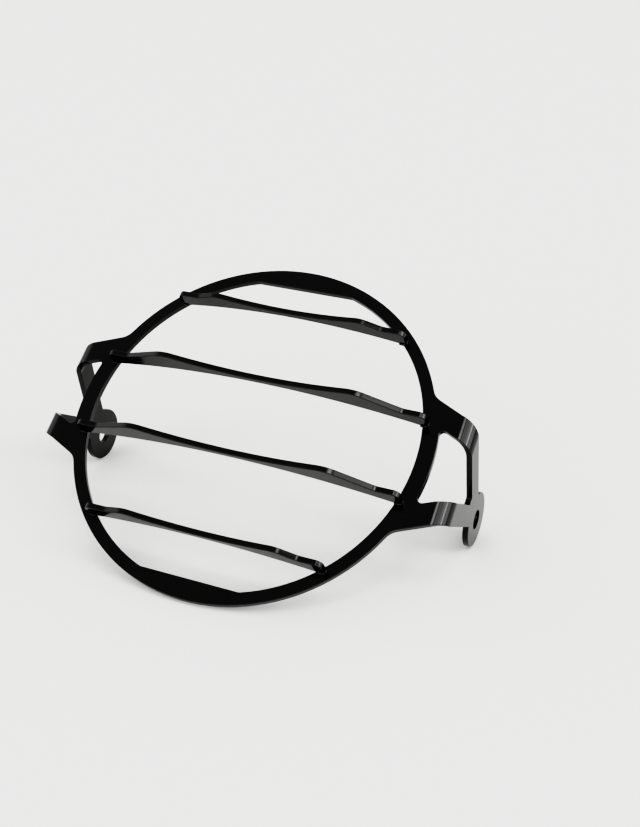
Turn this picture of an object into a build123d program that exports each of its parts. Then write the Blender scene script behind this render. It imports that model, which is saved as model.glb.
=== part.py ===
from build123d import *
import os
from math import asin, atan2, degrees, hypot, pi, sqrt

# A guard that stands in front of a round motorcycle headlight. One folded sheet makes
# the flat ring and the two ears that reach back beside the lamp, each with a bolt eye.
# Four upright blades are welded across the front of the ring.
# It is drawn with the ring upright: X across, Y back from the ring's front face, Z up
# the ring. At the end it is laid down as it rests on a flat surface: on the ring's
# lower edge and the two eyes, with the front leaning back.

# Sheet and folds
sheet_thickness = 3.0
fold_inner_radius = 5.7
fold_neutral_factor = 0.5

# Ring
ring_outer_radius = 95.2
ring_band = 6.4
ring_flat_depth = 4.2
ring_flat_corner_radius = 5.0

# Ears, measured in the unfolded sheet, the same above and below the centre line
ear_side_reach = 17.8
ear_front_half_height = 33.8
ear_tail_half_height = 4.4
ear_root_fillet = 9.0
eye_reach = 56.2
eye_radius = 14.5
eye_hole_diameter = 10.0

# Windows in the ears
window_rim = 2.1
window_eye_gap = 8.2
window_front_half_height = 20.2
window_rear_half_height = 1.9
window_front_corner_radius = 2.3
window_rear_corner_radius = 1.5

# Blades
bar_pitch = 42.7
bar_thickness = 3.0
bar_weld_overlap = 3.1
bar_end_height = 9.3
bar_end_corner_radius = 3.5
bar_middle_depth = 3.2
inner_bar_rise = 10.8
inner_bar_crest = 19.6
inner_bar_shoulder_inset = 12.0
inner_bar_slope_run = 24.0
inner_bar_crest_radius = 18.0
outer_bar_rise = 6.6
outer_bar_crest = 13.9
outer_bar_shoulder_inset = 12.0
outer_bar_slope_run = 11.5
outer_bar_crest_radius = 12.0
bar_shoulder_radius = 8.0

# Places that follow from the sizes above
ring_inner_radius = ring_outer_radius - ring_band
ring_flat_half_height = ring_inner_radius - ring_flat_depth
side_half_width = ring_outer_radius + ear_side_reach
fold_outer_radius = fold_inner_radius + sheet_thickness
fold_start = side_half_width - fold_outer_radius
fold_length = (fold_inner_radius + fold_neutral_factor * sheet_thickness) * pi / 2
fold_end = fold_start + fold_length
eye_u = fold_end - fold_outer_radius + eye_reach
window_start = ring_outer_radius + window_rim
window_end = eye_u - eye_radius - window_eye_gap


def draw_wedge(front_u, front_half_height, rear_u, rear_half_height):
    """A wedge about the centre line, its straight sides run on inward to the ring's axis."""
    slope = (front_half_height - rear_half_height) / (rear_u - front_u)
    root_half_height = front_half_height + slope * front_u
    outline = Polyline(
        (0, -root_half_height),
        (rear_u, -rear_half_height),
        (rear_u, rear_half_height),
        (0, root_half_height),
        close=True,
    )
    return make_face(outline)


def draw_ear():
    """The unfolded right ear: u runs outward along the sheet, z up the ring."""
    arms = draw_wedge(ring_outer_radius, ear_front_half_height, eye_u, ear_tail_half_height)
    return arms - Circle(ring_inner_radius) + Pos(eye_u, 0) * Circle(eye_radius)


def draw_window():
    """The window of the right ear, between its two arms."""
    window = draw_wedge(window_start, window_front_half_height, window_end, window_rear_half_height)
    window -= Circle(window_start)
    window = fillet(window.vertices().sort_by(Axis.X)[:2], window_front_corner_radius)
    return fillet(window.vertices().sort_by(Axis.X)[-2:], window_rear_corner_radius)


def draw_sheet():
    """The whole sheet before it is folded."""
    opening = Circle(ring_inner_radius) & Rectangle(2 * ring_inner_radius, 2 * ring_flat_half_height)
    opening = fillet(opening.vertices(), ring_flat_corner_radius)
    right = draw_ear()
    blank = Circle(ring_outer_radius) + right + mirror(right, Plane.YZ)
    roots = [v for v in blank.vertices() if abs(hypot(v.X, v.Y) - ring_outer_radius) < 1e-3]
    blank = fillet(roots, ear_root_fillet)
    window = draw_window()
    hole = Pos(eye_u, 0) * Circle(eye_hole_diameter / 2)
    for cut in (window, hole):
        blank -= cut
        blank -= mirror(cut, Plane.YZ)
    return blank - opening


def arm_heights(sheet, u):
    """The (low, high) heights of the arms where the line at u crosses the sheet."""
    line = Edge.make_line((u, -ring_outer_radius, 0), (u, ring_outer_radius, 0))
    pieces = sheet.intersect(line).edges()
    return sorted(sorted((piece.position_at(0).Y, piece.position_at(1).Y)) for piece in pieces)


def fold_arm(start, end):
    """One arm's quarter turn, from its heights at the fold's start to those at its end."""
    axis_y = fold_outer_radius
    quarter = Pos(fold_start, axis_y, 0) * Cylinder(fold_outer_radius, 2 * ring_outer_radius)
    quarter &= Pos(fold_start + axis_y, 0, 0) * Box(2 * axis_y, 2 * axis_y, 2 * ring_outer_radius)
    skin = quarter.faces().filter_by(GeomType.CYLINDER)[0]
    for side, keep in ((0, Keep.TOP), (1, Keep.BOTTOM)):
        lean = (end[side] - start[side]) / (2 * fold_outer_radius)
        edge = Plane(origin=(fold_start, 0, start[side]), z_dir=(-lean, -lean, 1))
        skin = split(skin, bisect_by=edge, keep=keep)
    return thicken(skin, amount=-sheet_thickness)


def fold_sheet(sheet):
    """The sheet as a solid, with both ears folded square to the ring."""
    upright = Plane.XZ
    flat = sheet & Rectangle(2 * fold_start, 2 * ring_outer_radius)
    ring = extrude(upright * flat, amount=-sheet_thickness)
    side_length = 2 * ring_outer_radius
    side = sheet & (Pos(fold_end + side_length / 2, 0) * Rectangle(side_length, side_length))
    side = Pos(fold_outer_radius - fold_end, 0) * side
    outer_face = Plane(origin=(side_half_width, 0, 0), x_dir=(0, 1, 0), z_dir=(1, 0, 0))
    ear = extrude(outer_face * side, amount=-sheet_thickness)
    for start, end in zip(arm_heights(sheet, fold_start), arm_heights(sheet, fold_end)):
        ear += fold_arm(start, end)
    return ring + ear + mirror(ear, Plane.YZ)


def make_bar(height, rise, crest, shoulder_inset, slope_run, crest_radius):
    """A blade across the ring, its ends on the ring's front face at the given height."""
    wall = sqrt(ring_inner_radius**2 - height**2)
    end = wall + bar_weld_overlap
    shoulder = end - shoulder_inset
    top = shoulder - slope_run
    rear = Line((-end, 0), (-wall, 0)) + ThreePointArc((-wall, 0), (0, -rise), (wall, 0))
    rear += Line((wall, 0), (end, 0))
    right = Polyline((end, 0), (end, -bar_end_height), (shoulder, -bar_end_height), (top, -crest))
    left = mirror(right, Plane.YZ)
    front = ThreePointArc((-top, -crest), (0, -rise - bar_middle_depth), (top, -crest))
    profile = make_face(rear + right + left + front)
    for x, y, radius in (
        (end, -bar_end_height, bar_end_corner_radius),
        (shoulder, -bar_end_height, bar_shoulder_radius),
        (top, -crest, crest_radius),
    ):
        corners = [v for v in profile.vertices() if hypot(abs(v.X) - x, v.Y - y) < 1e-3]
        profile = fillet(corners, radius)
    return Pos(0, 0, height - bar_thickness / 2) * extrude(profile, amount=bar_thickness)


inner = (inner_bar_rise, inner_bar_crest, inner_bar_shoulder_inset)
inner += (inner_bar_slope_run, inner_bar_crest_radius)
outer = (outer_bar_rise, outer_bar_crest, outer_bar_shoulder_inset)
outer += (outer_bar_slope_run, outer_bar_crest_radius)
nodes = {
    "guard_frame": fold_sheet(draw_sheet()),
    "bar_top": make_bar(1.5 * bar_pitch, *outer),
    "bar_upper": make_bar(0.5 * bar_pitch, *inner),
    "bar_lower": make_bar(-0.5 * bar_pitch, *inner),
    "bar_bottom": make_bar(-1.5 * bar_pitch, *outer),
}

# At rest the ring's lower rear edge and the bottoms of the eyes are level, so this is
# the angle between the ring and the surface.
eye_setback = eye_reach - sheet_thickness
lean = atan2(eye_setback, ring_outer_radius) + asin(eye_radius / hypot(ring_outer_radius, eye_setback))
turn = Rot(degrees(lean) - 90, 0, 0)
box = Compound(children=[turn * solid for solid in nodes.values()]).bounding_box()
place = Pos(-box.center().X, -box.center().Y, -box.min.Z) * turn

os.makedirs("parts", exist_ok=True)
for name, solid in nodes.items():
    export_step(place * solid, f"parts/{name}.step")
    print(name, (place * solid).bounding_box())
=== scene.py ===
import bmesh
import bpy
from math import pi, radians, sin, tan
from mathutils import Euler, Matrix, Vector


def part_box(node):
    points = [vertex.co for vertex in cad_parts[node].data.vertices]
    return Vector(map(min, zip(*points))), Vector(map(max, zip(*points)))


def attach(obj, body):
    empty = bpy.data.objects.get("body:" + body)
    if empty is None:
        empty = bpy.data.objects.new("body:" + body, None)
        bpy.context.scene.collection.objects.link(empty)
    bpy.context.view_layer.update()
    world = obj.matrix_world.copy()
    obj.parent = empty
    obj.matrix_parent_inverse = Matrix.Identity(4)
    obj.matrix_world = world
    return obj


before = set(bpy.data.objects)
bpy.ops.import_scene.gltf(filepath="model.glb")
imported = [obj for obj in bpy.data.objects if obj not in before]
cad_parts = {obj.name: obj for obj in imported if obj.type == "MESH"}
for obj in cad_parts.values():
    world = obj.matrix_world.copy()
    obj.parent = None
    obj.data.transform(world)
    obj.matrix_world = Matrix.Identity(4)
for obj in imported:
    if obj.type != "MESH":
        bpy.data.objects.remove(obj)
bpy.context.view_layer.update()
MM = 0.001

# Camera
# A long lens stands half a metre in front of the guard, to its right and 35 cm above the
# table, so that the ring reads as a leaning oval with both ears in view.
camera_place = Vector((250.129, -504.607, 352.349)) * MM
camera_turn = Euler((radians(63.1005), radians(-0.9601), radians(23.2561)), "XYZ")
camera_data = bpy.data.cameras.new("photo_camera")
camera_data.sensor_width = 36.0
camera_data.sensor_fit = "AUTO"
camera_data.lens = 54.239
camera_data.clip_start = 0.01
camera_data.clip_end = 50.0
camera = bpy.data.objects.new("photo_camera", camera_data)
camera.location = camera_place
camera.rotation_euler = camera_turn
bpy.context.scene.collection.objects.link(camera)
bpy.context.scene.camera = camera

# Table
# A seamless sheet of pale, faintly green white paper. It runs on so far to all sides that
# no edge of it shows.
table_reach = 12.0
paper_white = (0.820, 0.825, 0.808, 1)
paper_roughness = 0.75
table_mesh = bpy.data.meshes.new("table")
corners = [(-table_reach, -table_reach, 0), (table_reach, -table_reach, 0)]
corners += [(table_reach, table_reach, 0), (-table_reach, table_reach, 0)]
table_mesh.from_pydata(corners, [], [(0, 1, 2, 3)])
table = bpy.data.objects.new("table", table_mesh)
bpy.context.scene.collection.objects.link(table)

table_paper = bpy.data.materials.new("table_paper")
table_paper.use_nodes = True
paper = table_paper.node_tree.nodes["Principled BSDF"]
paper.inputs["Base Color"].default_value = paper_white
paper.inputs["Roughness"].default_value = paper_roughness
table_mesh.materials.append(table_paper)

# Studio light
# A white room lights the guard evenly from all round. A row of soft boxes at its right, one
# at its left and a bright wall in front draw the streaks on the folds and blades.
guard_lean = Vector((0, 0.8, 0.6))
room_brightness = 0.70
backdrop_white = 0.97
least_depth = 0.001
studio = bpy.data.worlds.new("studio")
studio.use_nodes = True
bpy.context.scene.world = studio
sky_nodes, sky_links = studio.node_tree.nodes, studio.node_tree.links
sky_direction = sky_nodes.new("ShaderNodeTexCoord").outputs["Generated"]


def along(axis):
    """How far the looked-at direction of the room goes along an axis."""
    dot = sky_nodes.new("ShaderNodeVectorMath")
    dot.operation = "DOT_PRODUCT"
    dot.inputs[1].default_value = axis
    sky_links.new(sky_direction, dot.inputs[0])
    return dot.outputs["Value"]


def combine(operation, *values):
    """One step of arithmetic on sockets or numbers of the room's light."""
    step = sky_nodes.new("ShaderNodeMath")
    step.operation = operation
    for socket, value in zip(step.inputs, values):
        if isinstance(value, (int, float)):
            socket.default_value = value
        else:
            sky_links.new(value, socket)
    return step.outputs[0]


def within(distance, limit, softness):
    """1 inside the limit and 0 outside, with a soft edge."""
    step = sky_nodes.new("ShaderNodeMapRange")
    step.interpolation_type = "SMOOTHSTEP"
    step.inputs["From Min"].default_value = limit - softness
    step.inputs["From Max"].default_value = limit + softness
    step.inputs["To Min"].default_value = 1.0
    step.inputs["To Max"].default_value = 0.0
    sky_links.new(combine("ABSOLUTE", distance), step.inputs["Value"])
    return step.outputs["Result"]


def soft_box(towards, width, height, softness, brightness):
    """A bright rectangle in the room, upright along the guard's own lean; sizes in degrees."""
    towards = Vector(towards).normalized()
    side = guard_lean.cross(towards).normalized()
    rise = towards.cross(side)
    depth = combine("MAXIMUM", along(towards), least_depth)
    across = within(combine("DIVIDE", along(side), depth), tan(radians(width / 2)), softness)
    upward = within(combine("DIVIDE", along(rise), depth), tan(radians(height / 2)), softness)
    return combine("MULTIPLY", combine("MULTIPLY", across, upward), brightness)


# Each soft box has its direction, width, height, edge softness and brightness. First come
# those on the right from high to low, then the left one and the bright wall in front.
crest_box = ((0.155, -0.274, 0.949), 12, 12, 0.06, 5.2)
slope_box = ((0.393, -0.213, 0.894), 7, 9, 0.03, 1.9)
fold_start_box = ((0.660, -0.040, 0.750), 36, 18, 0.06, 1.9)
upper_fold_box = ((0.767, -0.006, 0.642), 20, 18, 0.08, 0.9)
fold_streak_box = ((0.858, 0.096, 0.505), 7, 16, 0.03, 7.0)
lower_fold_box = ((0.923, 0.265, 0.280), 24, 16, 0.05, 2.3)
left_box = ((-0.910, 0.020, 0.410), 26, 24, 0.08, 0.5)
front_wall = ((0.000, -0.900, 0.400), 90, 56, 0.10, 1.2)
soft_boxes = (crest_box, slope_box, fold_start_box, upper_fold_box, fold_streak_box)
soft_boxes += (lower_fold_box, left_box, front_wall)
light = room_brightness
for box in soft_boxes:
    light = combine("ADD", soft_box(*box), light)

# The camera sees a plain white backdrop instead of the boxes.
rays = sky_nodes.new("ShaderNodeLightPath")
seen = sky_nodes.new("ShaderNodeMix")
sky_links.new(rays.outputs["Is Camera Ray"], seen.inputs["Factor"])
sky_links.new(light, seen.inputs["A"])
seen.inputs["B"].default_value = backdrop_white
sky_links.new(seen.outputs["Result"], sky_nodes["Background"].inputs["Color"])

# Film
# A camera's contrast curve, from scene light to picture: deep tones are pressed down, so
# that the gloss coat reads as deep black, and the whites of the table are held back.
film = bpy.context.scene.view_settings
film.view_transform = "Standard"
film.use_curve_mapping = True
tones = film.curve_mapping.curves[3]
full_light, paper_limit = 1.0, 0.835
deep_tones = [(0.02, 0.0006), (0.04, 0.005), (0.06, 0.016), (0.08, 0.031), (0.10, 0.050)]
middle_tones = [(0.13, 0.083), (0.16, 0.120), (0.20, 0.182), (0.25, 0.262), (0.35, 0.400)]
light_tones = [(0.50, 0.560), (0.65, 0.683), (0.75, 0.752), (0.85, 0.792)]
for scene_light, picture in deep_tones + middle_tones + light_tones:
    tones.points.new(scene_light, picture)
tones.points[-1].location = (full_light, paper_limit)
film.curve_mapping.update()

# Folded sheet: ring and ears
# One laser-cut steel sheet, folded square at both sides. After welding, all of it is
# powder coated gloss black, which rounds the cut edges and leaves a faint orange peel.
sheet_edge_radius = 0.30 * MM
thin_coat_black = (0.0024, 0.0024, 0.0025, 1)
thick_coat_black = (0.0038, 0.0038, 0.0040, 1)
coat_refraction = 1.50
glossiest, dullest = 0.10, 0.16
clouds_per_metre = 55.0
peel_bumps_per_metre = 620.0
peel_depth = 0.1 * MM
peel_strength = 0.14
same_place = 0.001 * MM
same_flat = radians(0.4)
sharp_edge = radians(35)

coat = bpy.data.materials.new("gloss_black_powder_coat")
coat.use_nodes = True
nodes, links = coat.node_tree.nodes, coat.node_tree.links
skin = nodes["Principled BSDF"]
skin.inputs["IOR"].default_value = coat_refraction
where = nodes.new("ShaderNodeTexCoord")
cloud = nodes.new("ShaderNodeTexNoise")
cloud.inputs["Scale"].default_value = clouds_per_metre
cloud.inputs["Detail"].default_value = 3.0
tone = nodes.new("ShaderNodeValToRGB")
tone.color_ramp.elements[0].position = 0.35
tone.color_ramp.elements[0].color = thin_coat_black
tone.color_ramp.elements[1].position = 0.7
tone.color_ramp.elements[1].color = thick_coat_black
gloss = nodes.new("ShaderNodeMapRange")
gloss.inputs["From Min"].default_value = 0.3
gloss.inputs["From Max"].default_value = 0.7
gloss.inputs["To Min"].default_value = glossiest
gloss.inputs["To Max"].default_value = dullest
peel = nodes.new("ShaderNodeTexNoise")
peel.inputs["Scale"].default_value = peel_bumps_per_metre
peel.inputs["Detail"].default_value = 1.5
bump = nodes.new("ShaderNodeBump")
bump.inputs["Strength"].default_value = peel_strength
bump.inputs["Distance"].default_value = peel_depth
links.new(where.outputs["Object"], cloud.inputs["Vector"])
links.new(where.outputs["Object"], peel.inputs["Vector"])
links.new(cloud.outputs["Fac"], tone.inputs["Fac"])
links.new(cloud.outputs["Fac"], gloss.inputs["Value"])
links.new(tone.outputs["Color"], skin.inputs["Base Color"])
links.new(gloss.outputs["Result"], skin.inputs["Roughness"])
links.new(peel.outputs["Fac"], bump.inputs["Height"])
links.new(bump.outputs["Normal"], skin.inputs["Normal"])


def dress_in_coat(piece, edge_radius):
    """Gives a sheet-metal piece the coat, with its cut edges rounded by it."""
    piece.data.materials.clear()
    piece.data.materials.append(coat)
    piece.data.shade_smooth()
    weld = piece.modifiers.new("join_corners", "WELD")
    weld.merge_threshold = same_place
    flat = piece.modifiers.new("join_flats", "DECIMATE")
    flat.decimate_type = "DISSOLVE"
    flat.angle_limit = same_flat
    edge = piece.modifiers.new("coated_edges", "BEVEL")
    edge.width = edge_radius
    edge.segments = 4
    edge.limit_method = "ANGLE"
    edge.angle_limit = sharp_edge
    normals = piece.modifiers.new("keep_flats_flat", "WEIGHTED_NORMAL")
    normals.weight = 100


dress_in_coat(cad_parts["guard_frame"], sheet_edge_radius)

# Blades
# Four upright steel blades, laser cut from the same gauge as the ring. Their narrow edges
# are ground over before coating, so they are a little rounder than the ring's.
blade_edge_radius = 0.35 * MM
blade_names = ("bar_top", "bar_upper", "bar_lower", "bar_bottom")
for name in blade_names:
    dress_in_coat(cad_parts[name], blade_edge_radius)

# Welds
# Each blade end is welded to the ring all round its foot, with a tail that runs inward
# under the blade's rear edge. The coat flows over the beads and softens their ripples.
bead_radius = 0.75 * MM
bead_proud = 0.1 * bead_radius
bead_sunk = 0.45 * bead_radius
bead_lead = 0.3 * bead_radius
lead_rise_share = 0.6
outer_rise_share = 0.45
bead_pitch = 0.4 * MM
ripple_length = 1.3 * MM
ripple_share = 0.07
tail_length = 5.5 * MM
tail_tip_radius = 0.5 * MM
tail_slope = 0.23
tail_sunk_share = 0.35
bead_grain = 0.15 * MM
foot_tolerance = 0.02 * MM


def middle(name):
    """The middle of a node's box."""
    low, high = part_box(name)
    return (Vector(low) + Vector(high)) / 2


across_ring = Vector((1, 0, 0))
up_ring = (middle("bar_top") - middle("bar_bottom")).normalized()
out_of_ring = across_ring.cross(up_ring)


def find_foot(name):
    """A blade's foot on the ring: centre line, inner end, outer end and half thickness."""
    points = [v.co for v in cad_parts[name].data.vertices]
    face = min(p.dot(out_of_ring) for p in points)
    foot = [p.x for p in points if p.dot(out_of_ring) < face + foot_tolerance and p.x > 0]
    heights = [p.dot(up_ring) for p in points]
    centre_line = face * out_of_ring + (max(heights) + min(heights)) / 2 * up_ring
    return centre_line, min(foot), max(foot), (max(heights) - min(heights)) / 2


def bead_path(inner_end, outer_end, half_thickness):
    """Points (outward, forward, upward) round a blade's foot, from and to its inner edge."""
    rise = half_thickness + bead_proud
    before = inner_end - bead_lead
    beyond = outer_end + bead_proud
    turns = [(before, -bead_sunk, rise * lead_rise_share), (inner_end, bead_proud, rise)]
    turns += [(beyond - bead_radius, bead_proud, rise)]
    turns += [(beyond, bead_proud, rise * outer_rise_share)]
    return turns + [(x, y, -z) for x, y, z in reversed(turns)]


def lay_drops(inner_end, outer_end, half_thickness):
    """The drops of metal, each a place and a radius, round a foot and along its tail."""
    drops = []
    travelled = 0.0
    path = [Vector(p) for p in bead_path(inner_end, outer_end, half_thickness)]
    for start, end in zip(path, path[1:] + path[:1]):
        count = max(1, round((end - start).length / bead_pitch))
        for step in range(count):
            ripple = 1 + ripple_share * sin(2 * pi * travelled / ripple_length)
            drops.append((start.lerp(end, step / count), bead_radius * ripple))
            travelled += (end - start).length / count
    tail_drops = round(tail_length / bead_pitch)
    for step in range(tail_drops):
        share = step / (tail_drops - 1)
        inward = share * tail_length
        radius = bead_radius + share * (tail_tip_radius - bead_radius)
        forward = tail_slope * inward - tail_sunk_share * radius
        drops.append((Vector((inner_end - inward, forward, 0)), radius))
    return drops


def lay_weld(name, side):
    """The bead round one end of a blade: overlapping drops of metal, melted together."""
    centre_line, *foot = find_foot(name)
    bead = bmesh.new()
    for (outward, forward, upward), radius in lay_drops(*foot):
        place = centre_line + side * outward * across_ring
        place = place + forward * out_of_ring + upward * up_ring
        spot = Matrix.Translation(place)
        bmesh.ops.create_icosphere(bead, subdivisions=2, radius=radius, matrix=spot)
    mesh = bpy.data.meshes.new(name)
    bead.to_mesh(mesh)
    bead.free()
    mesh.materials.append(coat)
    end_name = "right" if side > 0 else "left"
    piece = bpy.data.objects.new(f"weld_{name}_{end_name}", mesh)
    bpy.context.scene.collection.objects.link(piece)
    melt = piece.modifiers.new("melt", "REMESH")
    melt.mode = "VOXEL"
    melt.voxel_size = bead_grain
    melt.use_smooth_shade = True
    flow = piece.modifiers.new("flow", "SMOOTH")
    flow.factor = 0.5
    flow.iterations = 6
    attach(piece, "root")


for name in blade_names:
    for side in (1, -1):
        lay_weld(name, side)
